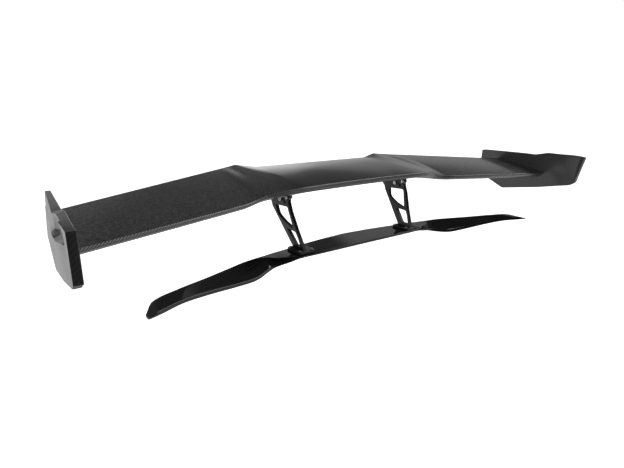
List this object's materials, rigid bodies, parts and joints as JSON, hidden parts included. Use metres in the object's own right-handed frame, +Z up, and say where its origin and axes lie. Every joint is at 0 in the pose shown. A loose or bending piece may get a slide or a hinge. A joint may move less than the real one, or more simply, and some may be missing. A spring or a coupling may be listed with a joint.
{
  "type": "rear wing",
  "caption": "Carbon rear wing on twin pylons with swept outer panels, tall endplates and a deck lip, tilting about the pylon heads.",
  "frame": {"origin": "on the underside of the deck lip, in the centre plane of the wing, 9 mm behind the middle of the two pylon feet", "axes": "+X along the span, to the right of someone who stands in front of the wing and looks rearward, +Y towards the rear of the car, +Z up"},
  "size_m": [1.7978, 0.592, 0.2909],
  "materials": {
    "carbon_satin": "satin clear coat over a fine twill carbon weave, very dark grey",
    "carbon_nose": "gloss clear coat over a visible twill carbon weave",
    "carbon_gloss": "high gloss clear coat over a dark carbon weave",
    "endplate_shell": "semi-gloss moulded carbon shell, near black",
    "anodised_black": "machined aluminium, satin black anodised with a fine grain",
    "steel_fastener": "zinc-plated steel, bright on the heads and edges",
    "rubber_gasket": "thin matt black rubber sheet",
    "structural_core": "plain laminate, dull dark grey-brown, seen only if the wing is opened"
  },
  "bodies": {
    "base": {"deck_spoiler": "carbon_gloss", "foot_gasket_left": "rubber_gasket", "backing_plate_left": "steel_fastener", "pylon_left": "anodised_black", "foot_bolt_left_1": "steel_fastener", "foot_bolt_left_2": "steel_fastener", "foot_bolt_left_3": "steel_fastener", "foot_bolt_left_4": "steel_fastener", "pivot_bolt_left": "steel_fastener", "pivot_nut_left": "steel_fastener", "foot_gasket_right": "rubber_gasket", "backing_plate_right": "steel_fastener", "pylon_right": "anodised_black", "foot_bolt_right_1": "steel_fastener", "foot_bolt_right_2": "steel_fastener", "foot_bolt_right_3": "steel_fastener", "foot_bolt_right_4": "steel_fastener", "pivot_bolt_right": "steel_fastener", "pivot_nut_right": "steel_fastener"},
    "wing": {"wing_upper_skin": "carbon_satin", "wing_lower_skin": "carbon_nose", "front_spar": "structural_core", "rear_spar": "structural_core", "tip_rib_left": "structural_core", "hardpoint_left": "structural_core", "wing_bracket_left": "anodised_black", "bracket_screw_left_1": "steel_fastener", "bracket_screw_left_2": "steel_fastener", "bracket_screw_left_3": "steel_fastener", "bracket_screw_left_4": "steel_fastener", "adjuster_bolt_left": "steel_fastener", "adjuster_nut_left": "steel_fastener", "pivot_bush_left": "steel_fastener", "endplate_left": "endplate_shell", "endplate_dowel_left_front": "steel_fastener", "endplate_dowel_left_rear": "steel_fastener", "tip_rib_right": "structural_core", "hardpoint_right": "structural_core", "wing_bracket_right": "anodised_black", "bracket_screw_right_1": "steel_fastener", "bracket_screw_right_2": "steel_fastener", "bracket_screw_right_3": "steel_fastener", "bracket_screw_right_4": "steel_fastener", "adjuster_bolt_right": "steel_fastener", "adjuster_nut_right": "steel_fastener", "pivot_bush_right": "steel_fastener", "endplate_right": "endplate_shell", "endplate_dowel_right_front": "steel_fastener", "endplate_dowel_right_rear": "steel_fastener"}
  },
  "joints": [
    {"name": "wing_tilt", "type": "hinge", "parent": "base", "child": "wing", "pos_m": [0, 0.065, 0.167], "axis": [1, 0, 0], "range_deg": [-4, 8]}
  ]
}
